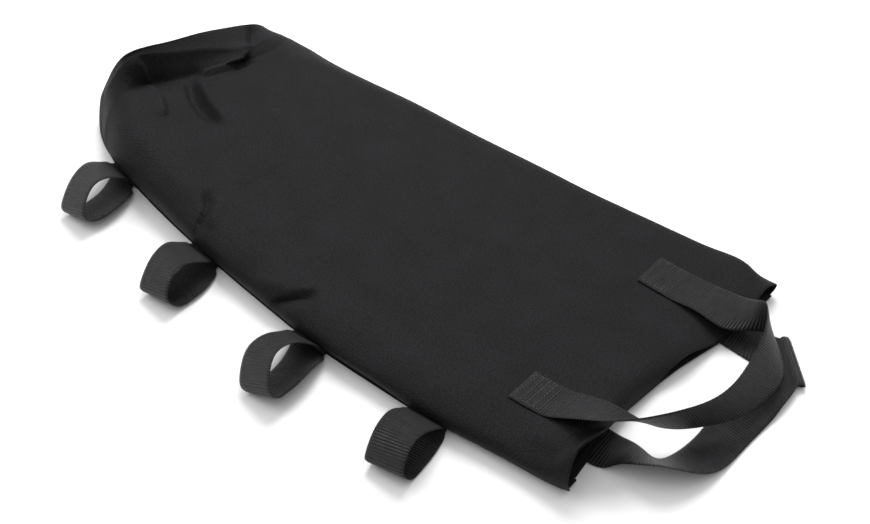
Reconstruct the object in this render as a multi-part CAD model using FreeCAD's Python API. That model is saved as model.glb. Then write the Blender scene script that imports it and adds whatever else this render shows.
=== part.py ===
import FreeCAD, Part
import math
import os

# A flat woven bag with two webbing handles at its open mouth and four
# webbing loops sewn into one long side seam.  All lengths are in millimetres.
#
# Frame: +X runs along the bag towards the open mouth, +Y runs across it to
# the folded long edge, +Z is up.  The underside rests on Z = 0 and the
# origin is under the middle of the bag.

Vector = FreeCAD.Vector

# ---- driving dimensions -------------------------------------------------

CLOTH_THICKNESS = 1.2
WEBBING_WIDTH = 38.0
WEBBING_THICKNESS = 1.6
THREAD_THICKNESS = 0.45

BASE_X = -298.0            # plane of the seam round the closed end
MOUTH_X = 310.0            # plane of the open mouth
BASE_BULGE = 11.0          # how far the closed end is puffed out
HEM_WIDTH = 25.0

SEAM_HEIGHT = 5.0          # top panel's lower edge, above the layers in the side seam
UNDERSIDE_LIFT = 2.7       # how far the back panel is lifted by the handle ends under it
LIFT_FROM_X = 140.0
LIFT_TO_X = 212.0

HANDLE_END_X = 223.0       # closed end of each sewn handle end
HANDLE_HINGE_X = 256.0     # where each handle comes free of the panel
NEAR_STRAND_Y = -97.0
FAR_STRAND_Y = 84.0
BACK_NEAR_STRAND_Y = -93.0
BACK_FAR_STRAND_Y = 80.0
PANEL_GAP = 0.3            # between the two panels' edges at the fold
HINGE_GAP = 2.5            # from a hinge line to the webbing that swings on it
LAYER_GAP = 0.1            # between two layers that lie on each other
SIDE_BULGE = 3.0           # how far the near side bulges out over the seam
QUARTER_SHARE = 0.78       # where across the bag the far quarter's height is taken
BACK_PANEL_STEPS = 40      # straight pieces in each long edge of the back panel's outline
SLOPE_STEPS = 12           # straight pieces in the slope of the back panel
TAPE_THICKNESS = 1.0
BASE_TAPE_WIDTH = 10.0
SIDE_TAPE_DEPTH = 12.0     # how far the side seam's tape reaches inwards
TAIL_DEPTH = 14.0          # how far the ends of a loop reach into the seam
SEAM_ROW_INSET = 5.0       # from the side seam's edge to its stitching
TACK_LENGTH = 14.0
TACK_WIDTH = 1.6
TACK_OFFSET = 9.0          # from a loop's middle to the middle of each bar tack
PATCH_MARGIN = 3.0         # how far a reinforcement shows beyond the webbing sewn over it
STITCH_INSET = 3.0         # from the webbing's edge to the sewn square
ROW_WIDTH = 0.8            # width of a row of thread

# The bag's outline and heights at a few places along its length:
# x, near edge y, far edge y, then the heights near the near edge, in the middle,
# between the middle and the far edge, and near the far edge
STATIONS = [
    (-298.0, -98.0, 105.0, 74.0, 80.0, 68.0, 50.0),
    (-250.0, -113.0, 114.0, 60.0, 54.0, 50.0, 42.0),
    (-165.0, -132.0, 120.0, 43.0, 39.0, 36.0, 31.0),
    (-60.0, -149.0, 127.0, 34.0, 31.0, 28.0, 23.0),
    (60.0, -161.0, 131.0, 30.0, 27.0, 22.0, 18.0),
    (180.0, -158.0, 139.0, 27.0, 22.0, 16.0, 15.0),
    (250.0, -152.0, 145.0, 27.0, 19.0, 13.0, 15.0),
    (310.0, -146.0, 143.0, 40.0, 18.0, 10.0, 18.0),
]

# Each loop: place of its middle along the bag, its reach and height, how far its top and
# its outer end are shifted towards the mouth, how far in degrees the webbing leans as it
# rises, at its outer end and on its way back, and how far its outer end is turned
LOOPS = {
    "loop_1": (-231.0, 68.0, 33.0, 18.0, 32.0, 8.0, 21.0, 14.0, 12.0),
    "loop_2": (-94.0, 67.0, 30.0, 9.0, 21.0, 2.0, 19.0, 4.0, 10.0),
    "loop_3": (48.5, 74.0, 35.0, 0.0, 18.0, 21.0, 28.0, 21.0, 7.0),
    "loop_4": (178.0, 66.0, 30.0, 2.0, 8.0, 1.0, 14.0, 1.0, 3.0),
}
# The line of every loop, from the seam out over the top and back along the floor:
# shares of its reach and height, of its two shifts, and of its three leans
LOOP_LINE = [
    (0.10, 0.33, 0.1, 0.0, 0.3, 0.0, 0.0),
    (0.22, 0.58, 0.3, 0.0, 0.7, 0.0, 0.0),
    (0.43, 0.92, 0.6, 0.0, 1.0, 0.0, 0.0),
    (0.70, 0.98, 1.0, 0.0, 0.2, 0.8, 0.0),
    (0.92, 0.74, 0.7, 0.45, 0.0, 1.0, 0.0),
    (1.00, 0.46, 0.3, 0.80, 0.0, 0.75, 0.25),
    (0.96, 0.28, 0.0, 1.00, 0.0, 0.4, 0.6),
    (0.85, 0.0, 0.0, 1.00, 0.0, 0.1, 0.9),
    (0.65, 0.0, 0.0, 0.95, 0.0, 0.0, 1.0),
    (0.42, 0.0, 0.0, 0.80, 0.0, 0.0, 1.0),
    (0.24, 0.0, 0.0, 0.55, 0.0, 0.0, 0.7),
    (0.12, 0.0, 0.0, 0.28, 0.0, 0.0, 0.25),
]

FRONT_CURVES = {}          # section curves already made, by x


# ---- small helpers ------------------------------------------------------

def station_value(x, column):
    """Value of one column of STATIONS at x, on a smooth curve through the stations."""
    places = [row[0] for row in STATIONS]
    last = len(places) - 1
    index = 0
    while index < last - 1 and x > places[index + 1]:
        index += 1

    def slope(i):
        low = max(i - 1, 0)
        high = min(i + 1, last)
        return (STATIONS[high][column] - STATIONS[low][column]) / (places[high] - places[low])

    span = places[index + 1] - places[index]
    t = (x - places[index]) / span
    start = STATIONS[index][column]
    end = STATIONS[index + 1][column]
    return (
        start * (1 + 2 * t) * (1 - t) ** 2
        + end * t * t * (3 - 2 * t)
        + slope(index) * span * t * (1 - t) ** 2
        - slope(index + 1) * span * t * t * (1 - t)
    )


def underside_z(x):
    """Height of the underside, which slopes up gently ahead of the sewn handle ends."""
    share = (x - LIFT_FROM_X) / (LIFT_TO_X - LIFT_FROM_X)
    share = min(max(share, 0.0), 1.0)
    return UNDERSIDE_LIFT * share * share * (3 - 2 * share)


def fold_radius(x):
    return 0.5 * (station_value(x, 6) - underside_z(x))


def front_outline(x):
    """Points of the front panel's curve at x, their places along it and its directions there.

    The curve runs from the side seam over to where the fold at the far edge begins."""
    if x in FRONT_CURVES:
        return FRONT_CURVES[x]
    near_y = station_value(x, 1)
    far_y = station_value(x, 2)
    near_height = station_value(x, 3)
    middle_height = station_value(x, 4)
    quarter_height = station_value(x, 5)
    far_height = station_value(x, 6)
    base = underside_z(x)
    width = far_y - near_y
    quarter_y = near_y + QUARTER_SHARE * width
    fold_y = far_y - fold_radius(x)
    points = [
        Vector(x, near_y, base + SEAM_HEIGHT),
        Vector(x, near_y - SIDE_BULGE, base + 0.5 * near_height),
        Vector(x, near_y + 0.07 * width, near_height),
        Vector(x, near_y + 0.30 * width, 0.5 * (near_height + middle_height)),
        Vector(x, near_y + 0.55 * width, middle_height),
        Vector(x, quarter_y, quarter_height),
        Vector(x, 0.5 * (quarter_y + fold_y), 0.5 * (quarter_height + far_height)),
        Vector(x, fold_y, far_height),
    ]
    places = [0.0]
    for before, after in zip(points, points[1:]):
        places.append(places[-1] + (after - before).Length)
    directions = [Vector(0, -0.4, 0.9)]
    for i in range(1, len(points) - 1):
        directions.append((points[i + 1] - points[i - 1]) / (places[i + 1] - places[i - 1]))
    directions.append(Vector(0, 1, 0))
    FRONT_CURVES[x] = points, places, directions
    return FRONT_CURVES[x]


def front_length(x):
    return front_outline(x)[1][-1]


def front_point(x, fraction, offset):
    """A point of the front panel, moved out along its normal by the offset.

    The panel runs over the top and then round the fold, half a circle, to the underside."""
    points, places, directions = front_outline(x)
    radius = fold_radius(x)
    travelled = fraction * (places[-1] + math.pi * radius)
    if travelled > places[-1]:
        angle = (travelled - places[-1]) / radius
        reach = radius + offset
        y = station_value(x, 2) - radius + reach * math.sin(angle)
        return Vector(x, y, underside_z(x) + radius + reach * math.cos(angle))
    i = 0
    while i < len(places) - 2 and travelled > places[i + 1]:
        i += 1
    step = places[i + 1] - places[i]
    t = (travelled - places[i]) / step
    start, end = points[i], points[i + 1]
    first, last = directions[i] * step, directions[i + 1] * step
    point = (start * (2 * t**3 - 3 * t**2 + 1) + first * (t**3 - 2 * t**2 + t)
             + end * (3 * t**2 - 2 * t**3) + last * (t**3 - t**2))
    along = (start * (6 * t**2 - 6 * t) + first * (3 * t**2 - 4 * t + 1)
             + end * (6 * t - 6 * t**2) + last * (3 * t**2 - 2 * t))
    outward = Vector(0, -along.z, along.y)
    outward.normalize()
    return point + outward * offset


def back_point(x, fraction, offset):
    """A point of the back panel, which is flat across the bag, from the fold to the seam."""
    start = station_value(x, 2) - fold_radius(x) - PANEL_GAP
    end = station_value(x, 1)
    return Vector(x, start + (end - start) * fraction, underside_z(x) - offset)


def lower_outline_point(x, fraction):
    """The underside's outline at x: flat from the seam, then a quarter round to the far edge."""
    near_y = station_value(x, 1)
    fold_y = station_value(x, 2) - fold_radius(x)
    radius = fold_radius(x)
    flat_length = fold_y - near_y
    travelled = fraction * (flat_length + 0.5 * math.pi * radius)
    if travelled < flat_length:
        return Vector(x, near_y + travelled, underside_z(x))
    angle = (travelled - flat_length) / radius
    return Vector(x, fold_y + radius * math.sin(angle), underside_z(x) + radius * (1 - math.cos(angle)))


def fraction_at_y(panel_point, x, wanted_y):
    """Fraction along a panel where it passes y = wanted_y on its broad side."""
    is_front = panel_point is front_point
    top_length = front_length(x)
    low, high = (0.14, top_length / (top_length + math.pi * fold_radius(x))) if is_front else (0.0, 1.0)
    for _ in range(40):
        middle = 0.5 * (low + high)
        is_below = panel_point(x, middle, 0).y < wanted_y
        if is_below == is_front:
            low = middle
        else:
            high = middle
    return 0.5 * (low + high)


def through_points(points):
    """Smooth curve that passes its points at even steps of its parameter."""
    curve = Part.BSplineCurve()
    curve.interpolate(Points=points, Parameters=[float(i) for i in range(len(points))])
    return curve


def pole_grid(rows):
    """Poles of the smooth surface through a grid of points, with its two knot sets."""
    row_curves = [through_points(row) for row in rows]
    row_poles = [curve.getPoles() for curve in row_curves]
    column_curves = [through_points(list(column)) for column in zip(*row_poles)]
    poles = [list(row) for row in zip(*[curve.getPoles() for curve in column_curves])]
    return poles, column_curves[0], row_curves[0]


def face_from_poles(poles, along_rows, along_columns):
    """Face with given poles; each direction takes its knots from a curve, or is straight."""
    directions = []
    for curve in (along_rows, along_columns):
        if curve is None:
            directions.append(([2, 2], [0.0, 1.0], 1))
        else:
            directions.append((curve.getMultiplicities(), curve.getKnots(), curve.Degree))
    (u_mults, u_knots, u_degree), (v_mults, v_knots, v_degree) = directions
    surface = Part.BSplineSurface()
    surface.buildFromPolesMultsKnots(
        poles, u_mults, v_mults, u_knots, v_knots, False, False, u_degree, v_degree
    )
    return surface.toShape()


def solid_between(first_rows, second_rows):
    """Closed solid between two matching grids of points."""
    first, u_curve, v_curve = pole_grid(first_rows)
    second, _, _ = pole_grid(second_rows)
    first_columns = [list(column) for column in zip(*first)]
    second_columns = [list(column) for column in zip(*second)]
    faces = [
        face_from_poles(first, u_curve, v_curve),
        face_from_poles(second, u_curve, v_curve),
        face_from_poles([first[0], second[0]], None, v_curve),
        face_from_poles([first[-1], second[-1]], None, v_curve),
        face_from_poles([first_columns[0], second_columns[0]], None, u_curve),
        face_from_poles([first_columns[-1], second_columns[-1]], None, u_curve),
    ]
    shell = Part.makeShell(faces)
    shell.sewShape()
    solid = Part.makeSolid(shell)
    if solid.Volume < 0:
        solid.reverse()
    return solid


def bunched(share):
    """Spread grid columns so that they are closer together round a panel's tight bends."""
    return share - 0.6 * math.sin(2 * math.pi * share) / (2 * math.pi)


def strip(panel_point, x_range, span, offsets, rows=7, columns=13):
    """A layer that follows a panel: span is a pair of fractions, or of y values when over 2."""
    outer_rows = []
    inner_rows = []
    spans_y = max(abs(span[0]), abs(span[1])) > 2
    for row in range(rows):
        x = x_range[0] + (x_range[1] - x_range[0]) * row / (rows - 1)
        ends = [fraction_at_y(panel_point, x, y) for y in span] if spans_y else span
        outer_row = []
        inner_row = []
        for column in range(columns):
            share = column / (columns - 1)
            if not spans_y:
                share = bunched(share)
            fraction = ends[0] + (ends[1] - ends[0]) * share
            outer_row.append(panel_point(x, fraction, offsets[0]))
            inner_row.append(panel_point(x, fraction, offsets[1]))
        outer_rows.append(outer_row)
        inner_rows.append(inner_row)
    return solid_between(outer_rows, inner_rows)


def ribbon(edge_pairs, samples, lowest=1.0):
    """A webbing strap through pairs of points, one on each selvedge, kept above the floor."""
    places = [0.0]
    for before, after in zip(edge_pairs, edge_pairs[1:]):
        steps = [(after[side] - before[side]).Length for side in (0, 1)]
        places.append(places[-1] + 0.5 * sum(steps))
    edges = []
    for side in (0, 1):
        curve = Part.BSplineCurve()
        curve.interpolate(Points=[pair[side] for pair in edge_pairs], Parameters=places)
        edges.append(curve)
    centres = []
    acrosses = []
    for sample in range(samples):
        place = places[-1] * sample / (samples - 1)
        ends = [curve.value(place) for curve in edges]
        for end in ends:
            end.z = max(end.z, lowest)
        centres.append((ends[0] + ends[1]) * 0.5)
        acrosses.append(ends[1] - ends[0])
    upper_rows = []
    lower_rows = []
    for index in range(samples):
        before = centres[max(index - 1, 0)]
        after = centres[min(index + 1, samples - 1)]
        normal = (after - before).cross(acrosses[index])
        normal.normalize()
        half = normal * (0.5 * WEBBING_THICKNESS)
        upper_row = []
        lower_row = []
        for share in (-0.5, -0.17, 0.17, 0.5):
            point = centres[index] + acrosses[index] * share
            upper_row.append(point + half)
            lower_row.append(point - half)
        upper_rows.append(upper_row)
        lower_rows.append(lower_row)
    return solid_between(upper_rows, lower_rows)


def save(name, shape):
    problem = "" if shape.isValid() else "  NOT VALID"
    box = shape.BoundBox
    print(f"{name}: {len(shape.Solids)} solids, {shape.Volume:.0f} mm3, "
          f"z {box.ZMin:.2f} to {box.ZMax:.2f}{problem}")
    shape.exportStep(f"parts/{name}.step")


# ---- cloth ---------------------------------------------------------------

def make_cloth():
    whole = (BASE_X, MOUTH_X)
    save("front_panel", strip(front_point, whole, (0, 1), (0, -CLOTH_THICKNESS), 49, 33))
    save("back_panel", make_back_panel())
    save("base_panel", make_base())
    hem = (MOUTH_X - HEM_WIDTH, MOUTH_X)
    under = (-CLOTH_THICKNESS - LAYER_GAP, -2 * CLOTH_THICKNESS - LAYER_GAP)
    save("front_hem", strip(front_point, hem, (0.04, 0.985), under, 5, 33))
    save("back_hem", strip(back_point, hem, (0.015, 0.94), under, 5, 33))


def make_back_panel():
    """A flat sheet, cut to the bag's outline, that steps up over the handle ends under it."""
    slope_length = LIFT_TO_X - LIFT_FROM_X
    side_places = [BASE_X, LIFT_FROM_X]
    side_places += [LIFT_FROM_X + slope_length * step / SLOPE_STEPS for step in range(1, SLOPE_STEPS)]
    side_places += [LIFT_TO_X, MOUTH_X]
    side = [Vector(x, 0, underside_z(x)) for x in side_places]
    up = Vector(0, 0, CLOTH_THICKNESS)
    profile = side + [point + up for point in reversed(side)]
    profile.append(profile[0])
    reach = 400.0
    sheet = Part.Face(Part.makePolygon(profile)).extrude(Vector(0, reach, 0))
    sheet.translate(Vector(0, -0.5 * reach, 0))

    steps = BACK_PANEL_STEPS
    below = Vector(0, 0, -10.0)
    near_points = []
    far_points = []
    for step in range(steps + 1):
        x = BASE_X + (MOUTH_X - BASE_X) * step / steps
        near_points.append(Vector(x, station_value(x, 1), 0) + below)
        far_points.append(Vector(x, station_value(x, 2) - fold_radius(x) - PANEL_GAP, 0) + below)
    outline = near_points + far_points[::-1] + near_points[:1]
    return sheet.common(Part.Face(Part.makePolygon(outline)).extrude(Vector(0, 0, 40.0)))


def make_base():
    """The puffed end panel, outside the ends of the front and back panels."""
    rows = 25
    columns = 9
    top_length = front_length(BASE_X)
    half_round = 0.5 * math.pi * fold_radius(BASE_X)
    far_extreme = (top_length + half_round) / (top_length + 2 * half_round)
    lowest = 0.02          # starts just above the side seam
    widest = 0.97          # stops short of the fold, where the two outlines meet
    outer_rows = []
    inner_rows = []
    for row in range(rows):
        share = lowest + (widest - lowest) * bunched(row / (rows - 1))
        top = front_point(BASE_X, share * far_extreme, 0)
        bottom = lower_outline_point(BASE_X, share)
        outer_row = []
        inner_row = []
        for column in range(columns):
            height = column / (columns - 1)
            point = bottom + (top - bottom) * height
            puff = BASE_BULGE * math.sin(math.pi * share) * math.sin(math.pi * height)
            inner_row.append(point - Vector(puff, 0, 0))
            outer_row.append(point - Vector(puff + CLOTH_THICKNESS, 0, 0))
        outer_rows.append(outer_row)
        inner_rows.append(inner_row)
    return solid_between(outer_rows, inner_rows)


def make_bindings():
    """Tape over the raw edges inside the seam round the base, and inside the side seam."""
    tape_gap = 0.5
    under = (-CLOTH_THICKNESS - tape_gap, -CLOTH_THICKNESS - tape_gap - TAPE_THICKNESS)
    ring = (BASE_X + tape_gap, BASE_X + tape_gap + BASE_TAPE_WIDTH)
    front_tape = strip(front_point, ring, (0.06, 0.94), under, 5, 65)
    back_tape = strip(back_point, ring, (0.03, 0.90), under, 5, 9)
    save("base_seam_binding", Part.makeCompound([front_tape, back_tape]))

    gaps = seam_gaps()
    tapes = [seam_block(low, high, 0.15, SIDE_TAPE_DEPTH, LAYER_GAP) for low, high in gaps]
    save("side_seam_binding", Part.makeCompound(tapes))


def seam_gaps():
    """Stretches of the side seam between the loop tails."""
    clearance = 0.5 * WEBBING_WIDTH + 0.3
    edges = [BASE_X + 0.5]
    for middle, *_ in LOOPS.values():
        edges += [middle - clearance, middle + clearance]
    edges.append(MOUTH_X)
    return [(edges[i], edges[i + 1]) for i in range(0, len(edges), 2)]


def seam_block(x_low, x_high, start, depth, margin):
    """A block between the two panels' edges, from just inside the seam line inwards."""
    rows = 5
    upper_rows = []
    lower_rows = []
    for row in range(rows):
        x = x_low + (x_high - x_low) * row / (rows - 1)
        near_y = station_value(x, 1)
        base = underside_z(x)
        upper_row = []
        lower_row = []
        for column in range(4):
            y = near_y + start + depth * column / 3
            upper_row.append(Vector(x, y, base + SEAM_HEIGHT - margin))
            lower_row.append(Vector(x, y, base + CLOTH_THICKNESS + margin))
        upper_rows.append(upper_row)
        lower_rows.append(lower_row)
    return solid_between(upper_rows, lower_rows)


# ---- side loops ------------------------------------------------------------

def edge_direction(x):
    """Unit vector along the side seam at x, towards the mouth."""
    step = 2.0
    rise = station_value(x + step, 1) - station_value(x - step, 1)
    direction = Vector(2 * step, rise, 0)
    direction.normalize()
    return direction


def loop_root(x):
    """Middle of the seam line that a loop swings on."""
    base = underside_z(x)
    return Vector(x, station_value(x, 1), base + 0.5 * (SEAM_HEIGHT + CLOTH_THICKNESS))


def make_loop(middle, reach, height, top_shift, end_shift, rise_lean, end_lean, back_lean, turn):
    """A teardrop of webbing: out over the top, round, and back along the floor."""
    root = loop_root(middle)
    along = edge_direction(middle)
    outward = Vector(along.y, -along.x, 0)
    half_thickness = 0.5 * WEBBING_THICKNESS
    half_width = 0.5 * WEBBING_WIDTH
    seam_step = half_thickness + 0.15      # from the seam's middle to each end of the webbing
    floor_rise = half_thickness + 0.6
    half_across = along * half_width
    start = root + outward * HINGE_GAP + Vector(0, 0, seam_step)
    finish = root + outward * HINGE_GAP - Vector(0, 0, seam_step)
    pairs = [(start - half_across, start + half_across)]
    for reach_share, height_share, top_share, end_share, *lean_shares in LOOP_LINE:
        leans = zip((rise_lean, end_lean, back_lean), lean_shares)
        lean = math.radians(sum(angle * share for angle, share in leans))
        twist = math.radians(turn * math.sqrt(reach_share))
        flat = along * math.cos(twist) - outward * math.sin(twist)
        across = (flat * math.cos(lean) + Vector(0, 0, math.sin(lean))) * half_width
        shift = top_shift * top_share + end_shift * end_share
        centre = root + outward * (reach * reach_share) + along * shift
        centre.z = max(height * height_share, floor_rise + half_width * math.sin(lean))
        pairs.append((centre - across, centre + across))
    pairs.append((finish - half_across, finish + half_across))
    return ribbon(pairs, 60)


def make_tail(middle):
    """The two ends of a loop, one on the other, held between the panels in the seam."""
    half_width = 0.5 * WEBBING_WIDTH
    return seam_block(middle - half_width, middle + half_width, 0.4, TAIL_DEPTH, 0.15)


def make_loops():
    tacks = []
    for name, measures in LOOPS.items():
        middle = measures[0]
        save(name, make_loop(*measures))
        save(name + "_tail", make_tail(middle))
        for side in (-1, 1):
            x = middle + side * TACK_OFFSET
            y = station_value(x, 1) + SEAM_ROW_INSET
            z = underside_z(x) + SEAM_HEIGHT + 0.4
            corner = Vector(x - 0.5 * TACK_LENGTH, y, z)
            tacks.append(Part.makeBox(TACK_LENGTH, TACK_WIDTH, THREAD_THICKNESS, corner))
    save("loop_bar_tacks", Part.makeCompound(tacks))


# ---- handles ---------------------------------------------------------------

ABOVE_PANEL = LAYER_GAP + 0.5 * WEBBING_THICKNESS


def sewn_pair(x, strand_y, outer_sign, offset):
    """Selvedge points of the front strap where it lies on the panel at x."""
    half = 0.5 * WEBBING_WIDTH * outer_sign
    ends = []
    for y in (strand_y + half, strand_y - half):
        ends.append(front_point(x, fraction_at_y(front_point, x, y), offset))
    return tuple(ends)


def make_front_handle():
    """From the far strand over the mouth's edge, round on edge, and back to the near strand."""
    start = HANDLE_HINGE_X + HINGE_GAP
    pairs = [
        sewn_pair(start, FAR_STRAND_Y, 1, ABOVE_PANEL + 0.7),
        (Vector(286, 102, 18.0), Vector(287, 64, 18.5)),
        (Vector(316, 101, 25.0), Vector(316, 65, 17.0)),
        (Vector(334, 90, 40.0), Vector(339, 86, 12.0)),
        (Vector(347, 64, 36.0), Vector(362, 73, 12.5)),
        (Vector(353, 36, 33.0), Vector(377, 50, 13.0)),
        (Vector(357, 8, 36.0), Vector(378, 22, 13.0)),
        (Vector(356, -20, 40.0), Vector(372, -5, 13.0)),
        (Vector(346, -50, 45.0), Vector(354, -36, 15.0)),
        (Vector(328, -80, 48.0), Vector(332, -60, 20.0)),
        (Vector(309, -106, 53.0), Vector(308, -74, 34.0)),
        (Vector(286, -113, 44.0), Vector(286, -77, 35.0)),
        sewn_pair(start, NEAR_STRAND_Y, -1, ABOVE_PANEL + 0.7),
    ]
    return ribbon(pairs, 60)


def make_back_handle():
    """From the far strand along the floor, folded over at a slant, and back, on edge at one place."""
    start = HANDLE_HINGE_X + HINGE_GAP
    low = 0.2 + 0.5 * WEBBING_THICKNESS
    far_y = BACK_FAR_STRAND_Y
    near_y = BACK_NEAR_STRAND_Y
    pairs = [
        (Vector(start, far_y + 19, low), Vector(start, far_y - 19, low)),
        (Vector(290, far_y + 19, low), Vector(290, far_y - 19, low)),
        (Vector(320, far_y + 19, low), Vector(330, far_y - 19, low)),
        (Vector(340, far_y + 19, low + 0.2), Vector(370, far_y - 19, low + 0.2)),
        (Vector(350, far_y + 19, low + 0.4), Vector(386, far_y - 19, low + 0.4)),
        (Vector(355, far_y + 21, low + 3.0), Vector(393, far_y - 17, low + 3.0)),
        (Vector(351, far_y + 17, low + 5.6), Vector(389, far_y - 21, low + 5.6)),
        (Vector(351, far_y + 6, low + 5.8), Vector(389, far_y - 28, low + 5.8)),
        (Vector(352, 60, 6.0), Vector(390, 32, 6.0)),
        (Vector(352, 20, 3.0), Vector(390, 15, 3.0)),
        (Vector(351, -15, 1.6), Vector(388, -20, 1.6)),
        (Vector(351.5, -36, 2.0), Vector(386, -54, 5.0)),
        (Vector(349, -57, 2.0), Vector(375, -79, 17.0)),
        (Vector(341, -74, 1.6), Vector(357, -96, 27.0)),
        (Vector(330, -74, 1.4), Vector(342, -102, 22.5)),
        (Vector(318, -72.5, 1.3), Vector(325, -106, 13.0)),
        (Vector(309, -73.5, low), Vector(314.5, -109, 2.8)),
        (Vector(301, near_y + 19, low), Vector(304, near_y - 19, low)),
        (Vector(278, near_y + 19, low), Vector(278, near_y - 19, low)),
        (Vector(start, near_y + 19, low), Vector(start, near_y - 19, low)),
    ]
    return ribbon(pairs, 90)


def make_sewn_end(panel_point, strand_y):
    half = 0.5 * WEBBING_WIDTH
    span = (strand_y - half, strand_y + half)
    return strip(panel_point, (HANDLE_END_X, HANDLE_HINGE_X), span, (LAYER_GAP, LAYER_GAP + WEBBING_THICKNESS), 5, 7)


def make_reinforcement(panel_point, strand_y):
    half = 0.5 * WEBBING_WIDTH + PATCH_MARGIN
    span = (strand_y - half, strand_y + half)
    layer = (-CLOTH_THICKNESS - LAYER_GAP, -CLOTH_THICKNESS - LAYER_GAP - TAPE_THICKNESS)
    return strip(panel_point, (HANDLE_END_X - PATCH_MARGIN, HANDLE_HINGE_X + 2.0), span, layer, 5, 7)


def make_box_stitch(panel_point, strand_y, layer):
    """A sewn square with a row across its middle, as flat rows of thread."""
    low_x = HANDLE_END_X + STITCH_INSET
    high_x = HANDLE_HINGE_X - STITCH_INSET
    half_thread = 0.5 * ROW_WIDTH
    reach = 0.5 * WEBBING_WIDTH - STITCH_INSET
    clear_of_corner = 1.2
    rows = []
    for x in (low_x, 0.5 * (low_x + high_x), high_x - ROW_WIDTH):
        span = (strand_y - reach + clear_of_corner, strand_y + reach - clear_of_corner)
        rows.append(strip(panel_point, (x, x + ROW_WIDTH), span, layer, 4, 7))
    for side in (-1, 1):
        y = strand_y + side * reach
        rows.append(strip(panel_point, (low_x, high_x), (y - half_thread, y + half_thread), layer, 5, 4))
    return rows


def make_handles():
    save("front_handle", make_front_handle())
    save("back_handle", make_back_handle())
    on_webbing = 0.15 + WEBBING_THICKNESS
    inside = -CLOTH_THICKNESS - 1.15
    sides = [
        ("front", front_point, NEAR_STRAND_Y, FAR_STRAND_Y, (on_webbing, on_webbing + THREAD_THICKNESS)),
        ("back", back_point, BACK_NEAR_STRAND_Y, BACK_FAR_STRAND_Y, (inside, inside - THREAD_THICKNESS)),
    ]
    for side, panel_point, near_y, far_y, thread_layer in sides:
        threads = []
        for place, strand_y in (("near", near_y), ("far", far_y)):
            save(f"{side}_handle_{place}_end", make_sewn_end(panel_point, strand_y))
            save(f"{side}_{place}_reinforcement", make_reinforcement(panel_point, strand_y))
            threads += make_box_stitch(panel_point, strand_y, thread_layer)
        save(f"{side}_handle_stitching", Part.makeCompound(threads))


# ---- stitching rows ----------------------------------------------------------

def make_stitching():
    hem_row = MOUTH_X - HEM_WIDTH + 3.0
    outside = (LAYER_GAP, LAYER_GAP + THREAD_THICKNESS)
    hem_threads = [
        strip(front_point, (hem_row, hem_row + ROW_WIDTH), (0.02, 0.98), outside, 4, 49),
        strip(back_point, (hem_row, hem_row + ROW_WIDTH), (0.02, 0.97), outside, 4, 9),
    ]
    save("hem_stitching", Part.makeCompound(hem_threads))

    ring_row = BASE_X + 5.0
    inside = (-CLOTH_THICKNESS - 1.8, -CLOTH_THICKNESS - 1.8 - THREAD_THICKNESS)   # under the tape
    base_threads = [
        strip(front_point, (ring_row, ring_row + ROW_WIDTH), (0.08, 0.92), inside, 4, 65),
        strip(back_point, (ring_row, ring_row + ROW_WIDTH), (0.05, 0.88), inside, 4, 9),
    ]
    save("base_seam_stitching", Part.makeCompound(base_threads))

    seam_threads = []
    for low, high in seam_gaps():
        if high - low < 20.0:
            continue
        row_low = low + 4.0
        row_high = high - 4.0
        rows = 6
        upper_rows = []
        lower_rows = []
        for row in range(rows):
            x = row_low + (row_high - row_low) * row / (rows - 1)
            y = station_value(x, 1) + SEAM_ROW_INSET
            z = underside_z(x) + SEAM_HEIGHT
            upper_rows.append([Vector(x, y + 0.25 * k, z + THREAD_THICKNESS) for k in range(4)])
            lower_rows.append([Vector(x, y + 0.25 * k, z) for k in range(4)])
        seam_threads.append(solid_between(upper_rows, lower_rows))
    save("side_seam_stitching", Part.makeCompound(seam_threads))


os.makedirs("parts", exist_ok=True)
make_cloth()
make_bindings()
make_loops()
make_handles()
make_stitching()
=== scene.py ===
"""Flat black cloth bag with four webbing side loops and two webbing handles, lying on a pale floor."""
import math
import bpy
import numpy as np
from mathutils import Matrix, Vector, noise


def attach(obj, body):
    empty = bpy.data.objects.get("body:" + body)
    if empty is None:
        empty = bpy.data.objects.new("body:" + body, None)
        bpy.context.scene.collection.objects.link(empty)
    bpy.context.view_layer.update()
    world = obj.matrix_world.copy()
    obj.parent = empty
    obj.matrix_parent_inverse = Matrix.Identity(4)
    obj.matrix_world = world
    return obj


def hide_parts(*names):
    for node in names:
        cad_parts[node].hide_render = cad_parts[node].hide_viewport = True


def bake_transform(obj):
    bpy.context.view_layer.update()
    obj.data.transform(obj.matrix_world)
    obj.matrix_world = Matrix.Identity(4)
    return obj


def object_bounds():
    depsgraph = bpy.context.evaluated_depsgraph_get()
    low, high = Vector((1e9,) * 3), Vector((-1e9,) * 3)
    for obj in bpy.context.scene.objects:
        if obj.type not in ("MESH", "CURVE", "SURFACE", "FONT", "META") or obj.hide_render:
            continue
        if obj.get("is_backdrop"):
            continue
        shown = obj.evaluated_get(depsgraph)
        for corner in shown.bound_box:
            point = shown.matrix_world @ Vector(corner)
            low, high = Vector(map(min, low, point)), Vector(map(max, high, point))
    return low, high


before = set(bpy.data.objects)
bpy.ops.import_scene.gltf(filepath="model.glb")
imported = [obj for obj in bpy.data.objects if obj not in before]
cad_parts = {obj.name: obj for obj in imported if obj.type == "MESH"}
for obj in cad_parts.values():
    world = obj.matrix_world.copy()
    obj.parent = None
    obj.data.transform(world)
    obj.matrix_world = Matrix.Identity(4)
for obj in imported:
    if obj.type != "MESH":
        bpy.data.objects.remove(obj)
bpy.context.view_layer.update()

MM = 0.001                     # shapes below are written in millimetres
CLOTH_THICKNESS = 1.2
WEBBING_THICKNESS = 1.6
WEBBING_WIDTH = 38.0
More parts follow.
